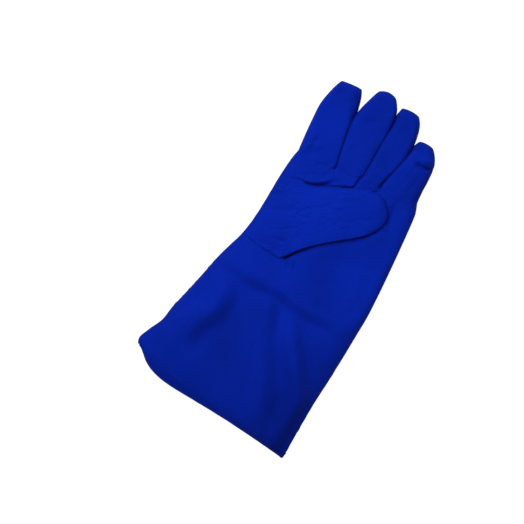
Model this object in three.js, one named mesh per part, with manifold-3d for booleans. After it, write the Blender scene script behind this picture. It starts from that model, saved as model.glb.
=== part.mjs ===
// A gauntlet work glove of flame-resistant cotton, left hand, lying on its back with
// the thumb laid over the palm. Millimetres, +Z up, +Y from the cuff to the fingertips.
// The hand, each finger and the thumb are tubes through a table of sections. The tubes
// are joined, hollowed by the thickness of the cloth and cut where the glove is sewn.
import * as THREE from 'three';
import { mergeVertices } from 'three/addons/utils/BufferGeometryUtils.js';
import Module from 'manifold-3d';

// Driving sizes
const wall = 2.4;            // quilted cotton, two layers
const hemExtra = 0.5;        // the turned hem stands this much over the cuff
const seamGap = 0.3;         // between two panels that are sewn together
const seamHeight = 7;        // the side seams run this far above the table
const seamLifts = {          // and rise from there towards both ends of the glove
  tips: { from: 150, over: 34, lift: 2 },
  cuff: { from: -110, over: -50, lift: 2 },
};
const outlineCentre = { x: 2.83, y: 1.25 };
const clothBlue = 0x0c2ca6;

// How the cloth turns over at an edge
const edgePower = 2.4;       // 2 is a round edge, more is squarer
const backEdge = 9;          // width of the turn from the table up to a side seam
const fingerEdge = 15;       // width of the turn along a finger
const thumbEdge = 17;
const tipEdge = 15;          // length over which a fingertip closes
const tipBlunt = 0.3;        // share of the height that is left at the tip's own seam
const backClose = 0.72;      // how much of that closing the underside of a fingertip takes

// Mesh steps, across a tube's front and under it, and along each step of its table.
// The hollow inside is stepped more coarsely than the outside.
const handColumns = { outer: [22, 8], inner: [16, 6] };
const fingerColumns = { outer: [8, 5], inner: [6, 4] };
const thumbColumns = { outer: [12, 6], inner: [8, 5] };
const handSteps = 2;
const fingerSteps = 1.5;
const hemSteps = 2;
const lastStepShare = 0.6;   // an extra ring stands here in a fingertip's last step
const edgeCrowding = 0.75;   // 0 steps evenly across a tube, 1 as on a half circle
const openEnd = 0.3;         // table steps that a hollow runs past the cloth's open end
const sliver = 0.01;         // faces thinner than this are taken into their neighbours
const weld = 1e-4;

// Sections across the gauntlet and the hand. left and right are the side seams in plan.
// rise is how far the front stands over them, round how far in from a side it is still
// rising, and bow how far the middle of the section leans towards the cuff's mouth.
const handSections = [
  { at: 'hem line', left: [-96.5, -138.5], right: [82.8, -173.5], rise: 13.5, round: 58, bow: 6 },
  { at: 'flare', left: [-91.5, -124], right: [84.5, -156], rise: 14.5, round: 58, bow: 5 },
  { at: 'flare top', left: [-84, -110], right: [86.3, -140], rise: 15, round: 56, bow: 4 },
  { at: 'cuff', left: [-80, -94], right: [88.8, -121], rise: 15, round: 54, bow: 3 },
  { at: 'mid cuff', left: [-73.5, -75], right: [92, -98], rise: 14.5, round: 50, bow: 2 },
  { at: 'upper cuff', left: [-66, -52], right: [95.6, -72], rise: 13, round: 45, bow: 1 },
  { at: 'narrows', left: [-59, -30], right: [98.6, -45], rise: 11.5, round: 40, bow: 0 },
  { at: 'below wrist', left: [-53, -15], right: [100.2, -29], rise: 10.5, round: 36, bow: 0 },
  { at: 'wrist', left: [-46.5, 1], right: [101.2, -14], rise: 10, round: 32, bow: 0 },
  { at: 'heel', left: [-41.5, 20], right: [102.2, 16], rise: 10, round: 29, bow: 0 },
  { at: 'palm', left: [-38.2, 42], right: [102.7, 50], rise: 10, round: 27, bow: 0 },
  { at: 'thumb top', left: [-34.2, 71.5], right: [103, 84], rise: 10.6, round: 23, bow: 0 },
  { at: 'yoke', left: [-30.6, 90], right: [101.6, 93], rise: 9.8, round: 18, bow: 0 },
  { at: 'finger roots', left: [-28.4, 100.3], right: [100, 100], rise: 6.6, round: 13, bow: 0 },
];

// The hem, from the cuff's mouth to the hem line. Its left end sits in from the corner.
const hemSections = [
  { at: 'mouth', left: [-85, -151], right: [81.8, -186.3], rise: 12.6, round: 58, bow: 4.5 },
  { at: 'hem', left: [-92.5, -144], right: [82.3, -180.5], rise: 13.3, round: 58, bow: 7.5 },
  { at: 'hem line', left: [-96.8, -138.8], right: [82.8, -173.8], rise: 13.5, round: 58, bow: 6 },
];

// Sections along each finger, the first one inside the palm.
const fingers = {
  index: [
    { left: [-29.8, 88], right: [11, 88], rise: 8.4, bow: 0 },
    { left: [-28.5, 100.5], right: [11.7, 100], rise: 11.6, bow: 0 },
    { left: [-28.6, 118], right: [9.3, 118], rise: 12.4, bow: 0 },
    { left: [-28.2, 136], right: [7.9, 136], rise: 12.2, bow: 0 },
    { left: [-27.2, 151], right: [7, 150], rise: 12, bow: 0 },
    { left: [-24.6, 163], right: [8.2, 162], rise: 11.8, bow: 0 },
    { left: [-20.3, 173], right: [6.4, 171.5], rise: 11.4, bow: -0.4 },
    { left: [-14.5, 180.2], right: [3.2, 180], rise: 11, bow: -0.9 },
  ],
  middle: [
    { left: [13.4, 86], right: [38, 88], rise: 8.4, bow: 0 },
    { left: [12.2, 99.5], right: [39.8, 100.5], rise: 11.6, bow: 0 },
    { left: [11.2, 111], right: [40.3, 111], rise: 12.6, bow: 0 },
    { left: [9.6, 126], right: [41.6, 126], rise: 12.8, bow: 0 },
    { left: [8.8, 140], right: [42.9, 140], rise: 12.8, bow: 0 },
    { left: [8.3, 151], right: [44.2, 151], rise: 12.6, bow: 0 },
    { left: [10.9, 163], right: [45, 163], rise: 12.4, bow: -0.4 },
    { left: [15.8, 174.5], right: [43.6, 174.5], rise: 12, bow: -1.6 },
    { left: [21, 185.2], right: [39.8, 184.6], rise: 11.6, bow: -4 },
  ],
  ring: [
    { left: [42, 88], right: [58.6, 90], rise: 8, bow: 0 },
    { left: [40.5, 101], right: [60.2, 102], rise: 11.4, bow: 0 },
    { left: [41.2, 111], right: [63.6, 111], rise: 12.2, bow: 0 },
    { left: [42.5, 124], right: [67.3, 123], rise: 12.2, bow: 0 },
    { left: [43.9, 138], right: [71.1, 136], rise: 12, bow: 0 },
    { left: [45.3, 151], right: [73.4, 149], rise: 11.8, bow: 0 },
    { left: [46.2, 162.5], right: [73, 160.5], rise: 11.6, bow: -0.3 },
    { left: [46.9, 171.8], right: [70.6, 170.2], rise: 11.2, bow: -1 },
    { left: [49, 179.2], right: [66.7, 178.2], rise: 10.8, bow: -2.1 },
  ],
  little: [
    { left: [60.4, 86], right: [101.3, 88], rise: 8.4, bow: 0 },
    { left: [61, 101.5], right: [100.1, 99.6], rise: 11.2, bow: 0 },
    { left: [64.7, 111], right: [99.8, 111], rise: 11.8, bow: 0 },
    { left: [68.3, 123], right: [100.2, 122.5], rise: 11.6, bow: 0 },
    { left: [71.7, 134.5], right: [101.4, 133.5], rise: 11.4, bow: 0 },
    { left: [74.5, 144.5], right: [101, 142], rise: 11, bow: -0.2 },
    { left: [76.3, 151.2], right: [97.9, 148.8], rise: 10.6, bow: -0.8 },
    { left: [79.2, 156.2], right: [93.4, 154.6], rise: 10.2, bow: -1.6 },
  ],
};

// The thumb, from the hand's left side over the palm to its tip. left is its upper
// edge in plan and right its lower one, here with their heights; drop is how far the
// inner half hangs under them.
const thumbSections = [
  { left: [-33, 71, 8.5], right: [-45.4, 1.8, 8.5], rise: 1.5, drop: 4, bow: 0 },
  { left: [-30.5, 71.4, 12], right: [-42.6, 0.9, 11.5], rise: 5.5, drop: 7, bow: 0 },
  { left: [-24, 71.9, 15], right: [-35, -0.9, 14.5], rise: 9.6, drop: 10, bow: 0 },
  { left: [-12, 72.7, 17.4], right: [-21, -4, 17], rise: 11.8, drop: 12, bow: 0 },
  { left: [0, 74.6, 18.6], right: [-7.5, -6.6, 18.4], rise: 13, drop: 13, bow: 0 },
  { left: [9, 78.2, 19.8], right: [1.4, -3.4, 19.6], rise: 13.2, drop: 13, bow: 0 },
  { left: [16, 81.2, 20.8], right: [7.5, 4, 20.4], rise: 12.8, drop: 9, bow: 0 },
  { left: [25, 85.2, 22.2], right: [15, 11.6, 21.6], rise: 12.2, drop: 5, bow: 0 },
  { left: [36, 88.6, 23.4], right: [27, 21.6, 23], rise: 11.4, drop: 5.6, bow: -0.5 },
  { left: [47, 90.8, 23.6], right: [40.5, 31, 23.4], rise: 11, drop: 5.8, bow: -2.5 },
  { left: [57, 91.6, 23.6], right: [54.5, 40.6, 23.4], rise: 10.6, drop: 5.8, bow: -7 },
  { left: [64.6, 90.4, 23.4], right: [68, 50.6, 23.4], rise: 10, drop: 5.6, bow: -12.2 },
];

// The hole in the palm that the thumb is sewn into, in plan, out past the hand's side.
const thumbHole = [
  [-62, 2], [-46, 1], [-34, -1.4], [-20, -4.2], [-7, -6.6], [0, -5.4], [5, 6], [8, 30], [9, 55],
  [8, 77.6], [0, 74.8], [-12, 72.9], [-24, 72.1], [-34, 71.6], [-62, 71],
];

// Seams across the front of the hand, in plan.
const frontSeams = {
  underYoke: [[6, 77], [16, 81.2], [25, 85.2], [34, 88.4], [44, 90.2], [45.6, 95.4]],
  middleBase: [[11.9, 106], [12, 99.7], [20, 98], [27, 96.6], [34, 97.2], [38, 99.6], [40.1, 108]],
  ringBase: [
    [40.1, 108], [40.4, 101.5], [43.2, 97], [45.2, 93.4], [52, 92.6], [60, 92.2], [60.9, 100], [61.6, 108],
  ],
};
const cutHeight = 40;        // a cut goes right through the thumb and the palm
const farOut = { x: 160, y: 230, z: 130 };
const seamStep = 10;

// Folds pressed into the front of the gauntlet and the hand: a valley, or a ridge
// where depth is negative, between two points, with its half width and depth.
const folds = [
  { from: [-58, -33], to: [66, -49], half: 8, depth: 2.8 },
  { from: [-34, -58], to: [-62, -126], half: 9, depth: 4.2 },
  { from: [-48, -62], to: [-74, -126], half: 7, depth: -1.8 },
  { from: [-18, -90], to: [-28, -126], half: 8, depth: 1.6 },
  { from: [10, -56], to: [50, -154], half: 10, depth: 3 },
  { from: [24, -54], to: [56, -128], half: 9, depth: -2.2 },
  { from: [44, -58], to: [82, -122], half: 9, depth: 2.4 },
  { from: [66, -162], to: [84, -148], half: 7, depth: 2.4 },
  { from: [84, 138], to: [103, 136], half: 4, depth: 2.4 },
  { from: [-30, 119], to: [-14, 108], half: 6, depth: 1.2 },
  { from: [80, 100], to: [103, 92], half: 6, depth: 1.4 },
];
const foldFade = 24;         // folds run out this close to a side seam
const foldEnds = 0.45;       // share of its depth that a fold has at its ends

// A place on each front panel, to tell the panels apart once they are cut.
const placeSize = 4;
const panelPlaces = {
  palm_and_gauntlet_front: [20, -100],
  index_finger_front: [-10, 140],
  middle_finger_front: [27, 150],
  ring_finger_front: [58, 140],
};

const mix = (a, b, t) => a + (b - a) * t;
const clamp01 = (t) => Math.min(1, Math.max(0, t));
const smooth = (t) => clamp01(t) ** 2 * (3 - 2 * clamp01(t));

// The height of the side seams at a place along the glove.
function seamAt(y) {
  const ends = Object.values(seamLifts);
  return ends.reduce((sum, end) => sum + end.lift * smooth((y - end.from) / end.over), seamHeight);
}

// How much of its full height the cloth has reached at a distance from its edge.
function edgeRise(distance, width) {
  return (1 - (1 - clamp01(distance / width)) ** edgePower) ** (1 / edgePower);
}

// A smooth curve through the values of a list, at a place counted in list steps.
function along(values, place) {
  const last = values.length - 1;
  const i = Math.min(last - 1, Math.max(0, Math.floor(place)));
  const t = place - i;
  const [b, c] = [values[i], values[i + 1]];
  const a = i > 0 ? values[i - 1] : 2 * b - c;
  const d = i < last - 1 ? values[i + 2] : 2 * c - b;
  return b + 0.5 * t * (c - a + t * (2 * a - 5 * b + 4 * c - d + t * (3 * (b - c) + d - a)));
}

// All of a section's numbers at a place between the listed ones.
function sectionAt(sections, place) {
  const read = (pick) => along(sections.map(pick), place);
  const ownHeights = sections[0].left.length > 2;
  const point = (side) => {
    const y = read((s) => s[side][1]);
    return new THREE.Vector3(read((s) => s[side][0]), y, ownHeights ? read((s) => s[side][2]) : seamAt(y));
  };
  return {
    left: point('left'),
    right: point('right'),
    rise: read((s) => s.rise),
    drop: sections[0].drop ? read((s) => s.drop) : null,
    round: sections[0].round ? read((s) => s.round) : null,
    bow: read((s) => s.bow),
  };
}

// How far the folds press the front in at a point.
function foldDepth(x, y) {
  return folds.reduce((sum, fold) => {
    const [ax, ay] = fold.from;
    const [bx, by] = [fold.to[0] - ax, fold.to[1] - ay];
    const t = clamp01(((x - ax) * bx + (y - ay) * by) / (bx * bx + by * by));
    const off = Math.hypot(x - ax - bx * t, y - ay - by * t) / fold.half;
    return sum + fold.depth * mix(foldEnds, 1, Math.sin(Math.PI * t)) * Math.exp(-off * off);
  }, 0);
}

// Shares across a section, closer together near its edges.
function spread(count) {
  const halfCircle = (share) => (1 - Math.cos(Math.PI * share)) / 2;
  return Array.from({ length: count + 1 }, (_, i) => mix(i / count, halfCircle(i / count), edgeCrowding));
}

// One section as a closed ring of points, made smaller all round by inset:
// over the front from left to right, then back along the underside.
function ring(section, { inset, columns, edge, close, pressed }) {
  const { left, right, bow } = section;
  const run = new THREE.Vector3(right.x - left.x, right.y - left.y, 0);
  const full = run.length();
  run.normalize();
  const start = left.clone().addScaledVector(run, inset);
  const width = full - 2 * inset;
  const level = (share) => mix(left.z, right.z, share);
  const at = (share, z) => {
    const lean = bow * 4 * share * (1 - share);
    const reach = width * share;
    const [x, y] = [run.x * reach + run.y * lean, run.y * reach - run.x * lean];
    return new THREE.Vector3(start.x + x, start.y + y, z);
  };
  const turn = (share, round) => edgeRise(share * width, round) * edgeRise((1 - share) * width, round);
  const [over, below] = inset > 0 ? columns.inner : columns.outer;
  const front = spread(over).map((share) => {
    const height = turn(share, section.round ?? edge) * close;
    const point = at(share, level(share) + (section.rise - inset) * height);
    const fade = edgeRise(Math.min(share, 1 - share) * width, foldFade) * close;
    if (pressed) point.z -= foldDepth(point.x, point.y) * fade;
    return point;
  });
  const lift = mix(1, close, section.drop ? 1 : backClose);
  const under = spread(below).slice(1, -1).reverse().map((share) => {
    const drop = (section.drop ?? level(share)) - inset;
    return at(share, Math.max(0, level(share) - drop * turn(share, backEdge) * lift));
  });
  return [...front, ...under];
}

// A closed tube through rings of equally many points.
function loft(rings) {
  const count = rings[0].length;
  const middle = (points) => points.reduce((sum, p) => sum.add(p), new THREE.Vector3()).divideScalar(count);
  const points = [...rings.flat(), middle(rings[0]), middle(rings.at(-1))];
  const [first, last] = [points.length - 2, points.length - 1];
  const triangles = [];
  for (let i = 0; i < count; i++) {
    const next = (i + 1) % count;
    for (let j = 0; j + 1 < rings.length; j++) {
      const [a, b] = [j * count + i, j * count + next];
      triangles.push(a, b, b + count, a, b + count, a + count);
    }
    const end = (rings.length - 1) * count;
    triangles.push(first, next, i, last, end + i, end + next);
  }
  const geometry = new THREE.BufferGeometry().setFromPoints(points);
  return geometry.setIndex(triangles);
}

const wasm = await Module();
wasm.setup();

// Turns a geometry whose faces share their corners into a solid.
function solid(geometry) {
  const vertProperties = new Float32Array(geometry.getAttribute('position').array);
  const triVerts = new Uint32Array(geometry.getIndex().array);
  return new wasm.Manifold(new wasm.Mesh({ numProp: 3, vertProperties, triVerts }));
}

// The tube through a table of sections. before and after lengthen its ends by so many
// table steps, and a tube with a tip closes over its last stretch.
const fingerTube = {
  inset: 0, before: 0, after: null, steps: fingerSteps, columns: fingerColumns, edge: fingerEdge,
  tip: true, pressed: true,
};
function tube(sections, options) {
  const { inset, before, after, steps, columns, edge, tip, pressed } = { ...fingerTube, ...options };
  const middle = (place) => {
    const { left, right } = sectionAt(sections, place);
    return left.add(right).multiplyScalar(0.5);
  };
  const last = sections.length - 1;
  const lastStep = middle(last).distanceTo(middle(last - 1));
  const end = last + (after ?? -inset / lastStep);
  const tipPoint = middle(end);
  const count = Math.round(last * steps);
  const places = Array.from({ length: count + 1 }, (_, j) => mix(-before, end, j / count));
  if (tip) places.splice(count, 0, mix(places[count - 1], end, lastStepShare));
  return solid(loft(places.map((place) => {
    const near = edgeRise(middle(place).distanceTo(tipPoint), tipEdge);
    const close = tip ? mix(tipBlunt, 1, near) : 1;
    return ring(sectionAt(sections, place), { inset, columns, edge, pressed, close });
  })));
}

// An upright block over an outline in plan, from the height of the side seams.
function block(outline) {
  const shape = new THREE.Shape(outline.map(([x, y]) => new THREE.Vector2(x, y)));
  const geometry = new THREE.ExtrudeGeometry(shape, { depth: cutHeight, bevelEnabled: false });
  geometry.translate(0, 0, seamHeight);
  return solid(joined(geometry));
}

// A thin upright cut along a line in plan.
function cut(line, width) {
  const shifted = (side) => line.map(([x, y], i) => {
    const before = line[Math.max(0, i - 1)];
    const after = line[Math.min(line.length - 1, i + 1)];
    const [dx, dy] = [after[0] - before[0], after[1] - before[1]];
    const length = Math.hypot(dx, dy);
    return [x - (dy / length) * side, y + (dx / length) * side];
  });
  return block([...shifted(-width / 2), ...shifted(width / 2).reverse()]);
}

// The same geometry with the corners that its faces share made one.
function joined(geometry) {
  geometry.deleteAttribute('normal');
  geometry.deleteAttribute('uv');
  return mergeVertices(geometry, weld);
}

// Everything above (side 1) or below (side -1) the level of the side seams.
function besideSeam(side) {
  const profile = [];
  for (let y = -farOut.y; y <= farOut.y; y += seamStep) profile.push([y, seamAt(y) + (side * seamGap) / 2]);
  profile.push([farOut.y, side * farOut.z], [-farOut.y, side * farOut.z]);
  const shape = new THREE.Shape(profile.map(([y, z]) => new THREE.Vector2(y, z)));
  const geometry = new THREE.ExtrudeGeometry(shape, { depth: 2 * farOut.x, bevelEnabled: false });
  const axes = [new THREE.Vector3(0, 1, 0), new THREE.Vector3(0, 0, 1), new THREE.Vector3(1, 0, 0)];
  geometry.applyMatrix4(new THREE.Matrix4().makeBasis(...axes).setPosition(-farOut.x, 0, 0));
  return solid(joined(geometry));
}

// The joined tubes of the hand and the fingers, solid, smaller all round by inset.
function handTubes(inset, before) {
  const hand = tube(handSections, { inset, before, steps: handSteps, columns: handColumns, tip: false });
  return Object.values(fingers).reduce((sum, finger) => sum.add(tube(finger, { inset })), hand);
}

// The same for the thumb, and for the hem, whose hollow runs past both its ends.
function thumbTube(inset) {
  return tube(thumbSections, { inset, columns: thumbColumns, edge: thumbEdge, pressed: false });
}
function hemTube(inset, past) {
  const open = { before: past, after: past };
  return tube(hemSections, { inset, ...open, steps: hemSteps, columns: handColumns, tip: false });
}

const glove = new THREE.Group();
const cloth = new THREE.MeshStandardMaterial({ color: clothBlue, roughness: 0.92, metalness: 0 });

// Adds the largest body of a solid as a named panel.
function add(name, body) {
  const [largest] = body.decompose().sort((a, b) => b.volume() - a.volume());
  const { numProp, vertProperties, triVerts } = largest.simplify(sliver).getMesh();
  const geometry = new THREE.BufferGeometry();
  const buffer = new THREE.InterleavedBuffer(vertProperties, numProp);
  geometry.setAttribute('position', new THREE.InterleavedBufferAttribute(buffer, 3, 0));
  geometry.setIndex(new THREE.BufferAttribute(triVerts, 1));
  const mesh = new THREE.Mesh(geometry, cloth.clone());
  mesh.name = name;
  mesh.position.set(-outlineCentre.x, -outlineCentre.y, 0);
  glove.add(mesh);
}

const above = besideSeam(1);
const below = besideSeam(-1);
const handOuter = handTubes(0, 0);
const handInner = handTubes(wall, openEnd);
const handShell = handOuter.subtract(handInner);
const hole = block(thumbHole);
const holeEdge = cut(thumbHole.slice(1, -1), 2 * seamGap);

// The front panels, cut from each other and from the hole for the thumb.
const frontPanels = Object.values(frontSeams).reduce(
  (rest, line) => rest.subtract(cut(line, seamGap)),
  handShell.intersect(above).subtract(hole).subtract(holeEdge),
).decompose();
for (const [name, [x, y]] of Object.entries(panelPlaces)) {
  const place = cut([[x - placeSize / 2, y], [x + placeSize / 2, y]], placeSize);
  add(name, frontPanels.find((panel) => panel.intersect(place).volume() > 0));
}

// The back, one panel for the gauntlet, the hand and the fingers.
add('back', handShell.intersect(below));

// The thumb: its root takes the palm's place over the hole, the rest lies on the palm.
const palmUnder = (gap) => handTubes(-gap, 0);
const thumbOuter = thumbTube(0).add(handOuter.intersect(hole)).intersect(above);
const rootHollow = handInner.intersect(hole.add(holeEdge));
const freeHollow = thumbTube(wall).subtract(palmUnder(seamGap + wall).subtract(hole).subtract(holeEdge));
const palmRoom = palmUnder(seamGap).subtract(hole);
add('thumb', thumbOuter.subtract(palmRoom.add(freeHollow).add(rootHollow)));

// The hem, turned over once round the cuff's mouth.
add('cuff_hem', hemTube(-hemExtra, 0).subtract(hemTube(wall, openEnd)));

export default glove;
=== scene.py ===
import math

import bpy
import numpy as np
from mathutils import Matrix, Vector


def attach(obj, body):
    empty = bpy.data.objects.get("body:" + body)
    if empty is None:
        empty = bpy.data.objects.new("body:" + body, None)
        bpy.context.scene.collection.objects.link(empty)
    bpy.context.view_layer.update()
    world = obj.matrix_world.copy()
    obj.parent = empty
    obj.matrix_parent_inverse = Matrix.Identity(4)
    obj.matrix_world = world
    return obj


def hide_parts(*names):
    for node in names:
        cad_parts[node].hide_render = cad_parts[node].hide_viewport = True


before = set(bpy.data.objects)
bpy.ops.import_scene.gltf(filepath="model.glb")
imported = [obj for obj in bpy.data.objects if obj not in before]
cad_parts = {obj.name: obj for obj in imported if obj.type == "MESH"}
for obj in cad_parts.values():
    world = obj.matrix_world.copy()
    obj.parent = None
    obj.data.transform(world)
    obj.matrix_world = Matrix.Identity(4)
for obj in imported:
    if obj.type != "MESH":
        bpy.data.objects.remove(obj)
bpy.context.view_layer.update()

# A gauntlet work glove of blue flame-resistant cotton, left hand, lying on its back with the thumb laid
# over the palm. The tables are in millimetres, as in the part's source; the meshes are in metres.

glove = {
    "outlineCentre": (2.83, 1.25),  # this point of the tables is x = y = 0 in the frame
    "seamHeight": 7.0,  # the side seams run this far above the table
    "seamLift": 2.0,  # and rise so much more towards the fingertips and the cuff's mouth
    "tipsLiftFrom": (150, 34),  # where that starts, and over what length
    "cuffLiftFrom": (-110, -50),
    "edgePower": 2.4,  # how the cloth turns over at an edge: 2 is round, more is squarer
    "underEdge": 9,  # width of the turn from the table up to a side seam
    "fingerEdge": 6,  # width of the turn along a finger's left side, and how square it is
    "fingerPower": 2.4,
    # the same along each finger's right side, first near its root and then near its tip
    "fingerRights": np.array([
        [6, 2.4, 12, 1.8], [6, 2.4, 6, 2.6], [6, 2.4, 7.5, 2.2], [15, 2, 13, 2],
    ]),
    "tipTurns": (42, -24),  # from this far from the tip they change, over this length towards it
    # Where two fingers touch, their seams run higher: at the hand's left side, in the three gaps and at
    # its right side. Columns: by how much at the root and further on, from which y on that sinks and over
    # what length, and from which y on they part.
    "webs": np.array([
        [0, 0, 98, 1, 98], [7.5, 7.2, 140, 16, 160.5], [9, 9, 148, 16, 173.5], [4.5, 7.6, 133, 13, 151.5],
        [0, 0, 98, 1, 98],
    ]),
    "webRises": (106, 16),  # where the height at the root turns into the other, and over what length
    "partsOver": 5,  # length over which two fingers part
    "tipEdge": 9,  # length over which a fingertip closes
    "sideReach": 3,  # a side seam draws the cloth in up to about this far from it, and a tip's seam
    "tipReach": 2,
    "rightHandEdge": 11,  # width of the turn along the hand's right side
    "rightEdge": 62,  # and along the cuff's, which falls away more evenly
    "rightPower": 2.0,
    "rightFrom": (-25, -65),  # from here on, over this length towards the cuff
    "bowAt": 0.18,  # the cuff's end is rounded most near its left corner, at this share of its width
    "cloth": 2.0,  # thickness of the two layers
    "crowding": 0.8,  # 0 spaces a grid's columns evenly, 1 as on a half circle
}

# Sections across the gauntlet and the hand, from the cuff's mouth to the finger roots. Columns: left seam
# x and y, right seam x and y, rise of the front over the seams, how far in from a side it still rises, and
# how far the middle leans towards the mouth.
gauntletSections = np.array([
    [-85, -152, 82.4, -186.2, 7, 40, 7.4],  # mouth
    [-91.6, -144.5, 83.3, -180.8, 10.6, 40, 7.4],  # hem
    [-98.6, -136.8, 84.2, -173.6, 13.4, 40, 6],  # hem line
    [-93, -124, 85.9, -156, 16.6, 40, 5],  # flare
    [-84.8, -110, 87.6, -140, 18.8, 39, 4],
    [-80.6, -94, 89.9, -121, 20.4, 38, 3],  # cuff
    [-74, -75, 93.5, -98, 20.8, 38, 2],
    [-66.4, -52, 97, -72, 19.4, 38, 1],
    [-59.5, -30, 100.2, -45, 15.4, 40, 0],  # narrows
    [-53.6, -15, 102.2, -29, 12.2, 34, 0],
    [-47.1, 1, 103.3, -14, 10.8, 29, 0],  # wrist
    [-42.2, 20, 104.4, 16, 10.4, 26, 0],
    [-39, 42, 105, 50, 10.2, 24, 0],  # palm
    [-35.4, 71.5, 105, 84, 10.6, 21, 0],
    [-32, 90, 103.8, 93, 10.8, 18, 0],  # yoke
    [-29.1, 100.2, 101.9, 100.2, 11, 15, 0],  # finger roots
])
fingerRoots = 15  # row of the table above
rootShares = np.array([0, 0.3175, 0.534, 0.689, 1])  # where the fingers part, as shares of the last section

# Sections along each finger, from its root. Columns: left x and y, right x and y, rise, bow.
fingerSections = {
    "index": np.array([
        [-29.1, 100.2, 12.5, 100.2, 11.6, 0],
        [-29.3, 118, 10.8, 118, 12.4, 0],
        [-29, 136, 9.1, 136, 12.2, 0],
        [-28.2, 151, 9, 150, 12, 0],
        [-25.1, 163.4, 9.9, 161.5, 11.8, 0],
        [-21.4, 173.6, 8, 172.8, 11.4, -0.2],
        [-17.6, 181.4, 5.3, 181.8, 11, -0.5],
    ]),
    "middle": np.array([
        [12.5, 100.2, 40.9, 100.2, 11.6, 0],
        [11.2, 111, 42, 111, 12.6, 0],
        [9.6, 126, 43.4, 126, 12.8, 0],
        [8.5, 140, 44.8, 140, 12.8, 0],
        [8.4, 151, 46.2, 151, 12.6, 0],
        [10.8, 162.5, 47.5, 163, 12.4, -0.4],
        [15.3, 174.8, 46, 175.2, 12, -1.2],
        [20.4, 186.4, 40.2, 186.6, 11.6, -3.4],
    ]),
    "ring": np.array([
        [40.9, 100.2, 61.1, 100.2, 11.4, 0],
        [41.8, 111, 64.5, 111, 12.2, 0],
        [43, 124, 68.8, 123, 12.2, 0],
        [44.2, 138, 73, 136, 12, 0],
        [45.8, 151, 75.4, 149, 11.8, 0],
        [46.9, 162.5, 75, 160.5, 11.6, -0.2],
        [46.8, 172.2, 72.8, 171.2, 11.2, -0.6],
        [48.8, 180.8, 68.6, 179.6, 10.8, -1.5],
    ]),
    "little": np.array([
        [61.1, 100.2, 101.9, 100.2, 11.2, 0],
        [64, 111, 102, 111, 11.8, 0],
        [68.2, 123, 102.8, 122.5, 11.6, 0],
        [72, 134.5, 103.1, 133.5, 11.4, 0],
        [74.3, 144.5, 102.1, 142, 11, -0.2],
        [75.6, 151.8, 99, 149.6, 10.6, -0.6],
        [78.2, 157.6, 94.6, 156.4, 10.2, -1.2],
    ]),
}

# Sections of the thumb, from the hand's left side over the palm to its tip. Columns: upper edge x, y and
# z, lower edge x, y and z, rise, how far the inner half hangs under its edges, how far its root stands over
# the hand, bow.
thumbSections = np.array([
    [-34.2, 71.5, 7, -46.5, 1, 7, 0, 0, 0, 0],
    [-30.5, 71.6, 12, -42.6, 0.4, 11.5, 3.4, 7, 0.8, 0],
    [-24, 72.1, 15, -35, -1.6, 14.5, 4.6, 10, 1.6, 0],
    [-12, 71.9, 17, -22, -4.6, 16.6, 5, 12, 2.8, 0],
    [-3, 72, 17.6, -9.4, -6.1, 17.2, 5.4, 13, 4, 0],
    [3.2, 73.7, 17.8, -1.8, -5.8, 17.2, 5.8, 13, 5, 0],
    [9.2, 76, 18, 3.6, -1, 16.7, 6.2, 12, 6, 0],
    [16.2, 78.8, 18.4, 9.3, 5, 16.9, 6.8, 9, 6.8, 0],
    [25.2, 82.5, 18.8, 16.3, 11.5, 17.5, 7.2, 5, 7.4, 0],
    [36.2, 86.7, 19.4, 27.8, 20.8, 17.7, 7.4, 5.2, 7.8, -0.5],
    [47, 90.3, 19.8, 41.3, 30.3, 17.8, 7.6, 5.4, 8, -2.5],
    [57.6, 91.9, 20, 55.4, 39.7, 17.9, 7.4, 5.4, 8, -7.4],
    [66.4, 91.6, 20, 69, 49.7, 17.9, 7, 5.2, 8, -12.8],
])

# The hole in the palm that the thumb is sewn into, in plan, out past the hand's side.
thumbHole = np.array([
    [-62, 2.6], [-46.5, 1], [-35, -1.6], [-22, -4.6], [-9.4, -6.1], [-2, -6.2], [3, 0], [8, 30], [9, 55],
    [8, 76.4], [3, 74.6], [-3, 72.8], [-12, 72.4], [-24, 72.1], [-34, 71.7], [-62, 71],
])

# Seams that show on the front of the hand, in plan.
frontSeams = {
    "thumbBottom": [[-48, 1.2], [-35, -1.6], [-22, -4.6], [-14, -5.2], [-9.4, -6.1], [-3, -6.9], [2, -6]],
    "middleBase": [[12, 100.4], [15, 99], [20, 98], [27, 96.8], [34, 97.2], [37.5, 98.6], [40, 100.4]],
    "ringBase": [[42, 103], [43.8, 99.4], [45.8, 96.2], [48.4, 94], [53, 92.8], [58, 92.4], [61, 94]],
    "yokeEnd": [[40.6, 102], [39.6, 96], [38.2, 91.2], [36, 88.2]],
}


def mix(a, b, t):
    # a at 0, b at 1, and even steps between
    return a + (b - a) * t


def smooth(t):
    # 0 to 1 with level ends: three t squared less two t cubed
    t = np.clip(t, 0, 1)
    return t * t * (3 - 2 * t)


def ramp(value, limits):
    # 0 to 1, level at both ends: from the first limit on, over the length that is the second
    return smooth((value - limits[0]) / limits[1])


def bell(t):
    # 1 at nothing, and next to nothing beyond two
    return np.exp(-t * t)


def unit(vectors):
    # each vector over its length
    return vectors / np.linalg.norm(vectors, axis=-1, keepdims=True)


def along(table, places):
    # smooth curve through a table's rows (Catmull-Rom), at places counted in rows
    table = np.asarray(table, float)
    rows = np.vstack([2 * table[0] - table[1], table, 2 * table[-1] - table[-2]])
    first = np.clip(np.floor(places).astype(int), 0, len(table) - 2)
    t = (places - first)[..., None]
    a, b, c, d = (rows[first + k] for k in range(4))
    return b + 0.5 * t * (c - a + t * (2 * a - 5 * b + 4 * c - d + t * (3 * (b - c) + d - a)))


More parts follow.
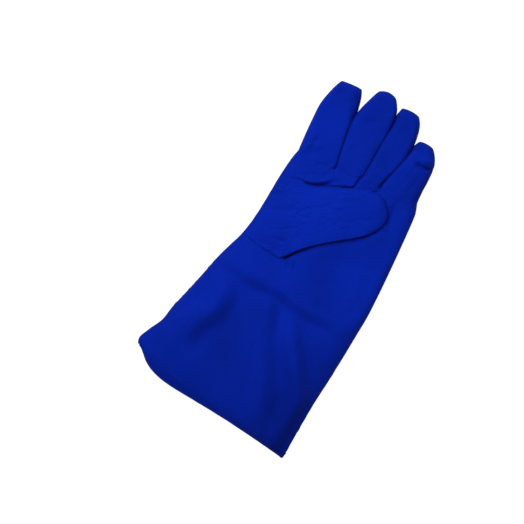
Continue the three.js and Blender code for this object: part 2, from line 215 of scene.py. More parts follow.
def edgeRise(distance, width, power=glove["edgePower"]):
    # share of the full height at a distance from an edge: a quarter of a superellipse
    return (1 - (1 - np.clip(distance / width, 0, 1)) ** power) ** (1 / power)


def seamLevel(y):
    # height of the side seams along the glove
    lift = ramp(y, glove["tipsLiftFrom"]) + ramp(y, glove["cuffLiftFrom"])
    return glove["seamHeight"] + glove["seamLift"] * lift


def spread(count, crowding=glove["crowding"]):
    # shares from 0 to 1, closer together near both ends
    even = np.linspace(0, 1, count + 1)
    return mix(even, (1 - np.cos(np.pi * even)) / 2, crowding)


waveLengths = (0.7, 1.4)  # the random waves' lengths, from and to, against the one that is asked for
wavePeak = 1.6  # so many standard deviations of their sum count as 1

# Each random relief is drawn from its own seed, so it is the same every time.
seeds = {
    "gathers": 11, "meanderX": 21, "meanderY": 22, "soft": 31, "fine": 32, "under": 35, "creases": 41,
    "underCreases": 45, "seams": 61, "thumbCreases": 71, "thumbSoft": 73, "thumbFine": 74,
}


def waves(x, y, length, seed, swing=180.0, count=14):
    # soft random relief of about -1 to 1: a sum of sines of about one wave length, headed every way, or
    # within a swing of the x axis
    chance = np.random.default_rng(seed)
    angles = np.radians(mix(-swing, swing, chance.random(count)))
    lengths = length * mix(*waveLengths, chance.random(count))
    shifts = 2 * np.pi * chance.random(count)
    total = np.zeros_like(x)
    for angle, size, shift in zip(angles, lengths, shifts):
        total += np.sin(2 * np.pi * (x * np.cos(angle) + y * np.sin(angle)) / size + shift)
    return total / math.sqrt(count / 2) / wavePeak


def swells(x, y, shape, seed, **how):
    # random waves of the length and the height that their shape gives
    length, high = shape
    return high * waves(x, y, length, seed, **how)


def nearLine(x, y, line, step=1.5):
    # distance from each point to a smooth line, followed in steps, how far along the line its nearest point
    # is, from 0 to 1, and that point
    line = np.asarray(line, float)
    length = np.linalg.norm(np.diff(line, axis=0), axis=1).sum()
    line = along(line, np.linspace(0, len(line) - 1, max(2, int(length / step))))
    best, place, start = np.full(x.shape, 1e9), np.zeros(x.shape), 0.0
    nearX, nearY = np.zeros(x.shape), np.zeros(x.shape)
    for a, b in zip(line[:-1], line[1:]):
        run = b - a
        size = np.hypot(*run)
        t = np.clip(((x - a[0]) * run[0] + (y - a[1]) * run[1]) / size**2, 0, 1)
        onX, onY = a[0] + run[0] * t, a[1] + run[1] * t
        off = np.hypot(x - onX, y - onY)
        closer = off < best
        place = np.where(closer, start + size * t, place)
        nearX, nearY = np.where(closer, onX, nearX), np.where(closer, onY, nearY)
        best = np.minimum(best, off)
        start += size
    return best, place / start, nearX, nearY


def insideOf(x, y, outline):
    # True for the points inside a closed outline, by counting the edges crossed to their right
    inside = np.zeros(x.shape, bool)
    for a, b in zip(outline, np.roll(outline, -1, axis=0)):
        crosses = (a[1] > y) != (b[1] > y)
        reach = a[0] + (y - a[1]) * (b[0] - a[0]) / (b[1] - a[1] if b[1] != a[1] else 1e-9)
        inside ^= crosses & (x < reach)
    return inside


def acrossPlan(read, shares, bowAt=None):
    # Points in plan across each section: left to right, leaning towards the mouth by the section's bow. The
    # bow is a parabola across the section, or greatest at the share bowAt and fading from there.
    left, run, bow = read[..., 0:2], read[..., 2:4] - read[..., 0:2], read[..., -1]
    width = np.linalg.norm(run, axis=-1)
    across = run / width[..., None]
    aside = np.stack([across[..., 1], -across[..., 0]], axis=-1)
    if bowAt is None:
        lean = bow * (4 * shares * (1 - shares))
    else:
        lean = bow * (shares / bowAt * np.exp(1 - shares / bowAt))
    return left + run * shares[..., None] + aside * lean[..., None], width, across


def arch(shares, width, edge, rightEdge=None, power=glove["edgePower"], rightPower=None):
    # 0 at both sides and 1 between them, turning over within an edge's width
    rightEdge = edge if rightEdge is None else rightEdge
    rightPower = power if rightPower is None else rightPower
    return edgeRise(shares * width, edge, power) * edgeRise((1 - shares) * width, rightEdge, rightPower)


relief = {
    # folds that stand up on the lit side and sink on the other: points along each, half width, depth
    "steps": [
        ([[-110, -30], [-80, -31], [-51, -34], [-26, -37], [-4, -40.5], [18, -43], [40, -45.5],
          [62, -49], [85, -53], [118, -58]], 8, 3.2),
        ([[8, -40], [24, -43], [40, -45.5], [62, -49], [80, -52], [96, -54]], 8, 1.6),
        ([[-33, -32], [-32, -50], [-32, -66], [-35, -81], [-41, -94], [-48, -107], [-55, -119],
          [-67, -137]], 10, 4.3),
        ([[2, -38], [8, -48], [13, -58], [17, -68], [20, -80], [23, -94]], 8, 2.8),
        ([[14, -66], [20, -82], [27, -96], [36, -113], [46, -132], [51, -150], [56, -172],
          [60, -190]], 10, 3.6),
        ([[64, -212], [70, -190], [74, -168], [78, -146], [82, -124], [86, -100]], 7, 3),
        ([[-40, 122], [-24, 116], [-14, 109], [4, 105]], 4, 0.9),
        ([[74, 104], [90, 97], [106, 94]], 6, 1.2),
        ([[-16, 69], [-8, 71.4], [-2, 74], [4, 77], [9, 80.6], [12.4, 84.4], [18, 87.8],
          [25, 89.4]], 2.2, 1.4),
    ],
    # ridges: points along each, half width of the lit side and of the other, height
    "ridges": [
        ([[26, -34], [33, -50], [40, -66], [47, -80], [57, -98], [65, -113], [72, -130],
          [78, -150]], 13, 7, 7.6),
        ([[-50, -74], [-58, -91], [-66, -108]], 8, 6, 1.2),
    ],
    # valleys, and ridges where the depth is negative: from, to, half width, depth
    "folds": [
        [-52, -17, 6, -24, 10, -1.4],
        [-66, -87, -75, -101, 2.2, 1.2],
        [0, -182, 84, -192, 8, 2.6],
        [54, 6, 68, -40, 14, 4.6],
        [-20, 166, -8, 172, 4, 0.9],
        [91, 128, 89, 90, 6, 2.4],
        [20, 152, 31, 157, 4, 1],
        [29, 116, 39, 120, 1.8, 0.7],
        [30, 110.5, 39, 114, 2, 0.6],
        [37, 148, 43, 141, 1.6, 0.8],
        [41.4, 98, 44.6, 91.4, 1.1, -1.3],
        [64, 106, 66, 96, 2, -0.9],
        [37.4, 87, 40, 103, 1.5, 3],
        [8.2, -2, 9.4, -11, 1.6, 2.4],
        [-24, 71.4, 4, 73.6, 1.6, 2.6],  # the thumb's upper crease
        [-8, 71.8, 14.8, 79.8, 2.8, 3.1],
        [5, 75.4, 38.8, 88, 1.3, 2.6],
        [27, 83, 38, 87.6, 1.2, 1.8],
        [82.5, 92, 84, 60, 4, 3.4],
        [84, 40, 92, -4, 9, 1.2],
    ],
    "litFrom": (-0.78, 0.63),  # the side that the light comes from, in plan
    "foldFade": 9,  # folds run out this close to a side seam
    "foldEnds": 0.35,  # share of its depth that a fold has at its ends
    "endRate": 2.4,  # steps and ridges come up from both ends over their length divided by this
    "lineStep": 3,  # their lines are followed in pieces of this length
    "meander": (52, 1.2),  # folds wander by this much over waves of this length
    "handFrom": (60, 20),  # but on the hand they keep to their lines: from this y on, over this length
    "soft": (46, 0.8),  # wave length and height of the cloth's slow unevenness
    "fine": (15, 0.12),  # the same for its fine unevenness, how many waves make that, and its fade
    "fineCount": 24,
    "fineFade": 9,
    "drawnOut": 0.2,  # creases are so much longer than the space between them, as one over this
    "creaseWave": (1.9, 3.2),  # wave length of the creases and of their breaks, against their spacing
    "creaseBreaks": 1.1,  # the more, the more of them is broken off
    "creaseValley": 0.22,  # a crease's valley and the bank beside it lie where the wave is within these
    "creaseBank": 0.6,
    "bankHeight": 0.9,  # height of that bank where the wave is 1, against the valley's depth
    # creases: middle x and y, reach in x and y, heading in degrees, spacing, depth
    "creases": [
        [-10, 88, 26, 14, 25, 8, 0.6],
        [-8, 95, 28, 18, 24, 3.4, 0.8],
        [4, -100, 95, 62, 98, 34, 0.7],
        [0, -16, 62, 18, -8, 15, 0.3],
        [26, 130, 16, 40, 8, 14, 0.5],
        [84, 120, 16, 34, 75, 16, 0.45],
        [58, 140, 14, 36, 80, 18, 0.4],
        [76, 16, 26, 62, 98, 26, 0.5],
        [60, -60, 36, 40, 118, 22, 0.4],
        [-69, -82, 13, 30, 70, 7, 0.9],
    ],
    # the underside is lifted off the table here and there
    "underCreases": [
        [0, -100, 90, 60, 100, 30, 1.2],
        [20, 0, 80, 60, 10, 26, 1],
        [40, 120, 70, 60, 95, 22, 0.8],
    ],
    "underWaves": (26, 0.5),
    "seamDepth": 0.7,  # grooves of the sewn seams
    "seamHalf": 0.8,
    "seamFade": 5,  # they run out this close to a side seam
    "gathers": 5.2,  # spacing of the gathers along them
    "gatherShare": 0.5,  # how uneven these make a groove's depth, and the bank beside it
    "bankShare": 0.9,
    # height of that bank against the groove's depth, its place and half width against the groove's
    "seamBank": (0.35, 2.6, 1.6),
    "tuck": 1.8,  # the palm's cloth goes down this far under the thumb's
    "tuckOver": 1.6,  # over this distance from the hole's edge, and less so near a side seam
    "tuckFade": 4,
    "holeStep": 4,  # the hole's outline is followed in pieces of this length
}

# Where the thumb's lower edge lies on the palm, the palm sinks beside its root.
crook = {
    "line": [
        [3.4, -4.2], [7.4, 3], [12.6, 7.9], [18, 13.4], [30.9, 23.6], [44.3, 32.7], [58, 41.1],
        [67.9, 48.9], [74.9, 57.6], [79.1, 66.2], [79.9, 74], [78.1, 81.8], [74.2, 87], [69.4, 90.6],
        [64, 92.6],
    ],
    "rootDepth": 5,  # depth and half width at the root and further on
    "depth": 0.0,
    "rootHalf": 2.2,
    "half": 0.9,
    "rootReach": 0.18,  # share of the line over which these change
    "swell": 2.5,  # further on the palm's cloth is pushed up beside it
    "swellHalf": 17,
    "litHalf": 2,  # but only this far under the thumb
    "swellEnds": 0.3,  # share of the line over which that comes up from its ends
}

# The little finger's end is folded down once.
pinchFold = {
    "line": [[79, 137.5], [85, 135], [91, 134], [96, 134.4], [102.5, 137]],
    "depth": 5.4,
    "half": 1.7,
    "deepensOver": 0.5,  # share of the line over which it comes up
    "swell": 2.8,  # the cloth above the fold bulges by this much
    "swellAt": (141.8, 3.6),  # round this y, within this much of it
    "swellFrom": (82, 10),  # from this x on, over this length
    "sideShift": 1.5,  # it runs out this far beyond the side seam, over this length
    "sideFade": 6,
}

seamPinch = {
    "depth": 0.5,  # a side seam draws the cloth in by this much
    "height": 1.9,  # over this height above and below it
    "gather": 8.0,  # spacing of the gathers along it
    "gatherShare": 0.45,  # how uneven they make it
    "roughAt": (-60, 38),  # the cuff's left seam is rougher round here
    "roughShare": 0.5,  # by so much
}


def foldDepth(x, y, folds):
    # sum of bell-shaped valleys, each deepest half way between its two ends
    depth = np.zeros(x.shape)
    for ax, ay, bx, by, half, deep in folds:
        run = np.array([bx - ax, by - ay])
        t = np.clip(((x - ax) * run[0] + (y - ay) * run[1]) / (run @ run), 0, 1)
        off = np.hypot(x - ax - run[0] * t, y - ay - run[1] * t) / half
        depth += deep * mix(relief["foldEnds"], 1, np.sin(np.pi * t)) * bell(off)
    return depth


def nearEach(x, y, rows):
    # for each row: distance from its line, True on the lit side, how far the line has come up from its
    # ends, and the row's other values
    for line, *values in rows:
        off, place, nearX, nearY = nearLine(x, y, line, relief["lineStep"])
        fade = smooth(relief["endRate"] * np.minimum(place, 1 - place))
        yield off, onLitSide(x, y, nearX, nearY), fade, values


def onLitSide(x, y, nearX, nearY):
    # True on the side of a line that the light comes from
    return (x - nearX) * relief["litFrom"][0] + (y - nearY) * relief["litFrom"][1] > 0


def stepHeight(x, y, steps):
    # the slope of a bell across each line: a crest on its lit side and a valley on the other
    height = np.zeros(x.shape)
    for off, lit, fade, (half, deep) in nearEach(x, y, steps):
        across = np.where(lit, -off, off) / half
        height -= deep * fade * across * np.exp(0.5 - across**2 / 2)
    return height


def ridgeHeight(x, y, ridges):
    # a bell over each line, wider on the lit side than on the other
    height = np.zeros(x.shape)
    for off, lit, fade, (litHalf, darkHalf, high) in nearEach(x, y, ridges):
        height += high * fade * bell(off / np.where(lit, litHalf, darkHalf))
    return height


def creaseHeight(x, y, zones, seed):
    # Thin valleys with a soft ridge beside them, along the lines where waves that are drawn out along the
    # crease's heading pass through nothing, within a soft-edged oval for each zone. A zone's seed is seven
    # after the last one's, and that of the waves which break its creases off three after its own.
    height = np.zeros(x.shape)
    size, breakSize = relief["creaseWave"]
    for k, (cx, cy, rx, ry, heading, spacing, deep) in enumerate(zones):
        turn = math.radians(heading)
        run = (x * math.cos(turn) + y * math.sin(turn)) * relief["drawnOut"]
        aside = y * math.cos(turn) - x * math.sin(turn)
        wave = waves(run, aside, size * spacing, seed + 7 * k)
        breaks = waves(run, aside, breakSize * spacing, seed + 7 * k + 3)
        broken = smooth(0.5 + relief["creaseBreaks"] * breaks)
        zone = np.exp(-(((x - cx) / rx) ** 2 + ((y - cy) / ry) ** 2) ** 1.5)
        line = relief["bankHeight"] * wave * bell(wave / relief["creaseBank"])
        line = line - bell(wave / relief["creaseValley"])
        height += deep * line * broken * zone
    return height


def seamRelief(x, y, lines, seed):
    # a groove along each seam, with gathers that run a little way into the cloth on both sides
    height = np.zeros(x.shape)
    depth, half = relief["seamDepth"], relief["seamHalf"]
    bankHeight, bankAt, bankHalf = relief["seamBank"]
    for k, line in enumerate(lines):
        off, place = nearLine(x, y, line)[:2]
        run = place * np.linalg.norm(np.diff(line, axis=0), axis=1).sum()
        gather = waves(run, np.zeros_like(run), relief["gathers"], seed + k, swing=20, count=6)
        height -= depth * (1 + relief["gatherShare"] * gather) * bell(off / half)
        bank = bell((off - bankAt * half) / (bankHalf * half)) * (1 + relief["bankShare"] * gather)
        height += bankHeight * depth * bank
    return height


def pinchAt(x, y, height):
    # how far a side seam draws the cloth in: deepest at the seam, fading with the height above or below it
    middle, reach = seamPinch["roughAt"]
    rough = seamPinch["roughShare"] * np.exp(-(((y - middle) / reach) ** 4)) * (x < 0)
    gathers = waves(x, y, seamPinch["gather"], seeds["gathers"], count=8)
    uneven = 1 + (seamPinch["gatherShare"] + rough) * gathers
    return seamPinch["depth"] * uneven * bell(height / seamPinch["height"])


def pinchedTip(x, y):
    # a narrow valley across the little finger that deepens outwards, with a bulge above it
    off, place = nearLine(x, y, pinchFold["line"])[:2]
    deep = smooth(place / pinchFold["deepensOver"])
    middle, reach = pinchFold["swellAt"]
    above = bell((y - middle) / reach) * ramp(x, pinchFold["swellFrom"])
    return pinchFold["depth"] * deep * bell(off / pinchFold["half"]) - pinchFold["swell"] * above


def crookDepth(x, y):
    # the palm's hollow beside the thumb's lower edge, a steep-sided bell that is deeper and wider near the
    # root, less the soft bulge of the palm beyond it
    off, place, nearX, nearY = nearLine(x, y, crook["line"])
    share = smooth(place / crook["rootReach"])
    depth = mix(crook["rootDepth"], crook["depth"], share)
    half = mix(crook["rootHalf"], crook["half"], share)
    reach = np.where(onLitSide(x, y, nearX, nearY), crook["litHalf"], crook["swellHalf"])
    ends = smooth(place / crook["swellEnds"]) * smooth((1 - place) / crook["swellEnds"])
    swell = crook["swell"] * ends * bell(off / reach)
    return depth * bell((off / half) ** 2) - swell


def holeOff(x, y):
    # distance from the edge of the thumb's hole
    return nearLine(x, y, np.vstack([thumbHole, thumbHole[:1]]), relief["holeStep"])[0]


def finishPoints(side, xy, level, height, sideOff, inward, started):
    # puts folds, creases and seam grooves onto a grid in plan, and draws its side seams in
    x, y = xy[..., 0], xy[..., 1]
    z = level + side * height
    if side > 0:
        near = ramp(y, relief["handFrom"])
        wx = mix(x + swells(x, y, relief["meander"], seeds["meanderX"]), x, near)
        wy = mix(y + swells(x, y, relief["meander"], seeds["meanderY"]), y, near)
        fade = smooth(sideOff / relief["foldFade"])
        z = z - foldDepth(wx, wy, relief["folds"]) * fade
        z = z + (stepHeight(wx, wy, relief["steps"]) + ridgeHeight(wx, wy, relief["ridges"])) * fade
        z = z + swells(x, y, relief["soft"], seeds["soft"]) * fade
        fade = edgeRise(sideOff, relief["fineFade"])
        z = z + swells(x, y, relief["fine"], seeds["fine"], count=relief["fineCount"]) * fade
        z = z + creaseHeight(x, y, relief["creases"], seeds["creases"]) * fade
        grooves = seamRelief(x, y, frontSeams.values(), seeds["seams"])
        z = z + grooves * smooth(sideOff / relief["seamFade"])
        z = z - crookDepth(x, y)
        z = z - pinchedTip(x, y) * edgeRise(sideOff + pinchFold["sideShift"], pinchFold["sideFade"])
        tucked = smooth(holeOff(x, y) / relief["tuckOver"]) * insideOf(x, y, thumbHole)
        z = z - relief["tuck"] * tucked * smooth(sideOff / relief["tuckFade"])
    else:
        lifted = np.maximum(0, swells(x, y, relief["underWaves"], seeds["under"]))
        lifted = lifted - creaseHeight(x, y, relief["underCreases"], seeds["underCreases"])
        z = z + np.maximum(0, lifted) * smooth(sideOff / relief["foldFade"])
    pinch = pinchAt(x, y, height) * started
    x, y = x + inward[..., 0] * pinch, y + inward[..., 1] * pinch
    return np.stack([x, y, z], axis=-1)


def fingerArch(shares, width, finger, tip):
    # an arch across a finger, rounder on its right side towards the tip
    rights = glove["fingerRights"][finger]
    rightEdge, rightPower = (mix(rights[..., k], rights[..., k + 2], tip) for k in (0, 1))
    return arch(shares, width, glove["fingerEdge"], rightEdge, glove["fingerPower"], rightPower)


def webAt(shares, finger, y):
    # how high a finger's sides run over the seams' level, blended from left to right across it, and the
    # share by which the nearer one has parted from the next finger
    high, parted = [], []
    for web in (glove["webs"][finger], glove["webs"][finger + 1]):
        atRoot, further, sinkFrom, sinkOver, partFrom = np.moveaxis(web, -1, 0)
        rise = mix(atRoot, further, ramp(y, glove["webRises"]))
        high.append(rise * (1 - ramp(y, (sinkFrom, sinkOver))))
        parted.append(ramp(y, (partFrom, glove["partsOver"])))
    return mix(*high, smooth(shares)), np.where(shares < 0.5, *parted)


fabricGrid = {
    "columns": {"index": 40, "middle": 32, "ring": 28, "little": 38},
    # rows of the grid between two sections of the gauntlet, closer together on the hand
    "handRows": [5, 5, 10, 11, 12, 14, 16, 16, 18, 22, 26, 28, 38, 24, 13],
    "fingerRows": 62,
    "tipCrowding": 0.7,  # 0 spaces a finger's rows evenly, 1 much closer towards its tip
    "rootBlend": (78, 22.2),  # the palm turns into four fingers from here, over this length
    "crotchBlend": (95.5, 4.7),  # and more suddenly beside a crotch
    "crotchReach": 4,  # that is, within this far of it
}


def handPoints(side, places, shares):
    # The front (side 1) or the back (side -1) of the gauntlet and the hand, at places along the table and
    # shares across its sections. The cloth stands over the seams by the rise times an arch; at the finger
    # roots one wide arch is blended into four narrow ones, which the fingers carry on.
    read = along(gauntletSections, places)
    xy, width, across = acrossPlan(read, shares, glove["bowAt"])
    y = xy[..., 1]
    level = seamLevel(y)
    finger = np.searchsorted(rootShares[1:-1], shares, side="right")
    part = np.diff(rootShares)[finger]
    local = (shares - rootShares[finger]) / part
    gap = np.min(np.abs(shares[..., None] - rootShares[1:-1]), axis=-1) * width
    near = bell(gap / fabricGrid["crotchReach"])
    limits = zip(fabricGrid["rootBlend"], fabricGrid["crotchBlend"])
    parted = ramp(y, [mix(apart, close, near) for apart, close in limits])
    web = webAt(local, finger, y)[0] * parted
    if side > 0:
        flared = ramp(y, glove["rightFrom"])
        rightEdge = mix(glove["rightHandEdge"], glove["rightEdge"], flared)
        rightPower = mix(glove["edgePower"], glove["rightPower"], flared)
        wide = read[..., 4] * arch(shares, width, read[..., 5], rightEdge, rightPower=rightPower)
        tall = np.array([table[0, 4] for table in fingerSections.values()])[finger]
        narrow = web + (tall - web) * fingerArch(local, width * part, finger, 0)
    else:
        wide = level * arch(shares, width, glove["underEdge"])
        narrow = (level + web) * arch(local, width * part, glove["underEdge"]) - web
    height = mix(wide, narrow, parted)
    sideOff = np.minimum(shares, 1 - shares) * width
    inward = across * np.sign(0.5 - shares)[..., None]
    return finishPoints(side, xy, level, height, sideOff, inward, 1.0)


def tubePlan(read, shares, straightFrom=0):
    # A finger or the thumb in plan: its grid, its width, each point's distance from its nearer side and
    # from its tip, how it closes there by a superellipse, and the way in from its side seams and its tip.
    xy, width, across = acrossPlan(read, shares)
    middle = (read[..., 0:2] + read[..., 2:4]) / 2
    toTip = np.linalg.norm(middle - middle[-1], axis=-1)
    sideOff = np.minimum(shares, 1 - shares) * width
    back = unit(middle[straightFrom] - middle[-1])
    sideways = np.sign(0.5 - shares) * bell(sideOff / glove["sideReach"])
    inward = across * sideways[..., None] + back * bell(toTip / glove["tipReach"])[..., None]
    return xy, width, sideOff, toTip, edgeRise(toTip, glove["tipEdge"]), inward


def fingerPoints(side, name):
    # the front or the back of one finger: the rise times an arch across it, closed towards its tip
    table = fingerSections[name]
    even = np.linspace(0, 1, fabricGrid["fingerRows"] + 1)
    places = (len(table) - 1) * mix(even, np.sin(np.pi / 2 * even), fabricGrid["tipCrowding"])
    read = along(table, places)[:, None]
    shares = spread(fabricGrid["columns"][name])[None]
    xy, width, sideOff, toTip, close, inward = tubePlan(read, shares)
    level = seamLevel(xy[..., 1])
    finger = list(fingerSections).index(name)
    web, started = webAt(shares, finger, xy[..., 1])
    if side > 0:
        rise = fingerArch(shares, width, finger, ramp(toTip, glove["tipTurns"]))
        height = web + (read[..., 4] - web) * rise * close
    else:
        height = (level + web) * arch(shares, width, glove["underEdge"]) * close - web
    return finishPoints(side, xy, level, height, np.minimum(sideOff, toTip), inward, started)


def toFrame(points):
    # from the tables' millimetres to the frame's metres
    return (points - np.array([*glove["outlineCentre"], 0.0])) / 1000


def numbered(grid):
    # a vertex number for each point of a grid, or of a stack of grids
    return np.arange(grid[..., 0].size).reshape(grid.shape[:-1])


def gridFaces(numbers):
    # the four corners of every cell of a grid of vertex numbers, or of a stack of grids
    low, high = numbers[..., :-1, :], numbers[..., 1:, :]
    corners = [low[..., :-1], low[..., 1:], high[..., 1:], high[..., :-1]]
    return np.stack(corners, axis=-1).reshape(-1, 4)


def newObject(name, data):
    # an object in the scene's collection
    made = bpy.data.objects.new(name, data)
    bpy.context.collection.objects.link(made)
    return made


clothUnit = 100  # millimetres of cloth to one unit of its UV map


def meshFrom(name, points, faces, weave, shade=None):
    # A smooth-shaded mesh object at the origin. Points are in millimetres, faces are rows of four vertex
    # numbers, and weave is each vertex's place on the flat cloth in millimetres, kept as a UV map.
    used = np.unique(faces)
    renumber = np.zeros(len(points), int)
    renumber[used] = np.arange(len(used))
    mesh = bpy.data.meshes.new(name)
    mesh.from_pydata(toFrame(points[used]).tolist(), [], renumber[faces].tolist(), shade_flat=False)
    layer = mesh.uv_layers.new(name="weave")
    layer.data.foreach_set("uv", (weave[faces.ravel()] / clothUnit).ravel())
    # shade, where given, is each vertex's share of painted shade
    if shade is not None:
        mesh.attributes.new("shade", "FLOAT", "POINT").data.foreach_set("value", shade[used])
    mesh.validate()
    return newObject(name, mesh)


def flatPlaces(grid, startAcross=0.0, startAlong=0.0):
    # how far across and along the cloth each point of a grid lies, measured over the surface
    middle = grid.shape[1] // 2
    steps = np.linalg.norm(np.diff(grid, axis=1), axis=2)
    across = np.concatenate([np.zeros((len(grid), 1)), np.cumsum(steps, axis=1)], axis=1)
    across = across - across[:, middle : middle + 1] + startAcross
    rise = np.linalg.norm(np.diff(grid[:, middle], axis=0), axis=1)
    down = np.concatenate([[0], np.cumsum(rise)]) + startAlong
    return np.stack([across, np.broadcast_to(down[:, None], across.shape)], axis=2)


def thicken(piece, thickness):
    # gives the cloth its thickness, inwards
    shell = piece.modifiers.new("thickness", "SOLIDIFY")
    shell.thickness = thickness / 1000
    shell.offset = -1
    shell.use_rim = True


cuffHem = {
    "stands": 0.35,  # the turned hem stands this much over the cuff
    "lip": -1.0,  # and its upper edge dips this far into it
    "bulge": 0.2,  # it stands this much more half way
    "bulgeLow": 0.7,  # below 1 that lies nearer to the upper edge
    "shade": 0.26,  # share of painted shade over the hem
    "shadeFrom": (-100, 50),  # but less so at the lit left corner: from this x on, over this length
    "thick": 4.2,  # over all
    "topLeft": 1.95,  # the hem's upper edge, as rows of the table, at the left and at the right
    "topRight": 0.95,
    "narrowing": 1.25,  # the right's is reached at one over this share of the width
    "overlap": 0.3,  # the cuff's cloth reaches this far into the hem
    "underLift": 0.6,  # and on the underside its end lies this much over the hem's
    "lipShare": 0.1,  # share of the hem's width over which it comes up from the lip
    "innerReach": 0.15,  # inside, the hem reaches so many rows further
    "crowding": 0.85,  # of its columns
    "acrossColumns": 150,
    "underColumns": 110,
    "outerRows": 16,
    "noseRows": 8,
    "innerRows": 6,
}


def hemTop(shares):
    # the hem's upper edge, in rows of the table: the hem is widest at the left
    return mix(cuffHem["topLeft"], cuffHem["topRight"], smooth(shares * cuffHem["narrowing"]))


thumbCloth = {
    "columns": 84,
    "rows": 180,
    "underColumns": 24,
    "seamAllowance": 2.6,  # the palm's cloth reaches this far under the thumb along the seam
    "crowding": 0.6,  # of its rows
    "edges": (6, 2.6),  # width of the turn along the thumb's upper edge and its lower one
    "rootEdges": (30, 60),  # the same near its root
    "edgeTurns": ((3, 5), (4.2, 2.6)),  # where each changes: from this row of the table on, over how many
    "rootRows": (9, 15, 400),  # rows of the gauntlet's table beside the root, and points read from them
    "heightRows": (8, 15, 300),  # the same for the height of the hand there
    "rootSpan": (71.5, 1),  # y of the root's upper and lower end on the hand's side seam
    "rootOver": 2,  # rows over which the thumb leaves that seam
    # where the thumb leaves the palm at its upper edge, its middle and its lower edge, in rows of the table
    "free": ((2.1, 1.5), (1.2, 4), (4.5, 1.6)),
    "freeTurns": ((0, 0.4), (0.55, 0.45)),  # shares across it at which each of these turns into the next
    "laps": 3.2,  # the upper root reaches this far over the palm's cloth, and goes down into it
    "lapSinks": 1.8,
    "lapReach": 6,  # up to this far in from its edge
    "sinkReach": 3,
    "lapRows": 0.6,  # coming up over so many rows of the table
    "swellPowers": (0.7, 1.7),  # how squarely the root swells over the hand, at its upper and lower end
    "foldFade": 10,  # folds and creases run out this close to an edge, and towards the root
    "foldRows": 1.2,
    "seamRows": 1.5,
    "straightFrom": 6,  # row from which the thumb runs straight to its tip
    "underFrom": 5,  # the inner half starts here in the table, where the thumb leaves the palm
    "restsAt": 17.9,  # height of the palm that the inner half lies on
    "folds": [
        [-38, 47, -20, 54, 3.6, 1.8],
        [-30, 20, -12, 24, 3, 1],
        [-30, 34, -6, 44, 3, 0.9],
        [26, 71, 44, 80, 2.4, -0.8],
        [26, 61.5, 38, 66.5, 2.4, -0.8],
        [24, 50, 33, 53, 2, -0.7],
        [4, 66, 2, 74, 3, 1.2],
        [60, 62, 72, 72, 6, 0.6],
    ],
    "creases": [
        [-16, 36, 30, 40, 24, 3.4, 1.3],
        [-14, 40, 30, 40, 23, 6, 0.8],
        [32, 60, 40, 28, 25, 4, 0.7],
    ],
    "soft": (34, 0.5),
}


# Painted shade, mixed into the cloth's colour through the mesh's shade attribute.
paintedShade = {
    # painted shade on the fingers' fronts: the base seam it starts at, and its share
    "fingers": {"middle": ("middleBase", 0.15), "ring": ("ringBase", 0.25), "little": (None, 0.06)},
    "seamBlend": 0.8,  # length over which that starts at a base seam
    "littleFrom": (92, 24),  # and on the little finger, which has none, where and over what length
    "rightLap": 2,  # it reaches this far into the gap at a finger's right
    # Soft spots of painted shade, where the cuff, its folds, the gaps and the sides of the fingers and the
    # thumb lie in shade. Columns: middle x and y, reach in x and y, share.
    "places": [
        [52, -30, 34, 24, 0.31],
        [-19, -98, 14, 38, 0.34],
        [4, -62, 15, 14, 0.3],
        [-58, -64, 20, 26, 0.16],
        [58, -62, 22, 12, 0.14],
        [10, -124, 64, 44, 0.2],
        [64, -150, 30, 60, 0.32],
        [80, -166, 24, 34, 0.4],
        [94, 112, 11, 26, 0.36],
        [82, -160, 16, 34, 0.2],
        [-30, 54, 18, 30, 0.18],
        [87, 74, 6, 20, 0.2],
        [-84, -119, 9, 16, 0.25],
        [-10, 172, 18, 14, 0.22],
        [36, 164, 10, 18, 0.2],
        [61, 158, 13, 16, 0.1],
        [79.5, 153, 5, 5, 0.5],
    ],
    "leftSeam": (0.36, 3.0),  # share of painted shade at the left side seam, and how far in it reaches
}


def paintedShadeAt(points):
    # Painted shade, as each point's share of the dark colour: on the fronts of the middle, ring and little
    # fingers, made darker as if less light fell on them, from each finger's base seam on, or fading in
    # where it is of one piece with the palm. Soft spots of painted shade are added to it, where the cuff,
    # its folds, the gaps and the fingers' and thumb's sides lie in shade, and a soft line of painted shade
    # along the left side seam.
    x, y = points[:, 0], points[:, 1]
    total = np.zeros(len(points))
    for cx, cy, rx, ry, share in paintedShade["places"]:
        total += share * bell(np.hypot((x - cx) / rx, (y - cy) / ry))
    leftSeam = np.vstack([gauntletSections[:, :2], fingerSections["index"][1:, :2]])
    share, reach = paintedShade["leftSeam"]
    total += share * bell((x - np.interp(y, leftSeam[:, 1], leftSeam[:, 0])) / reach)
    for name, (seam, share) in paintedShade["fingers"].items():
        table = fingerSections[name]
        left, right = (np.interp(y, table[:, 1], table[:, k]) for k in (0, 2))
        inside = (x > left) & (x < right + paintedShade["rightLap"])
        if seam:
            line = np.array(frontSeams[seam])
            limits = np.interp(x, line[:, 0], line[:, 1]), paintedShade["seamBlend"]
        else:
            limits = paintedShade["littleFrom"]
        total += share * inside * ramp(y, limits)
    return total


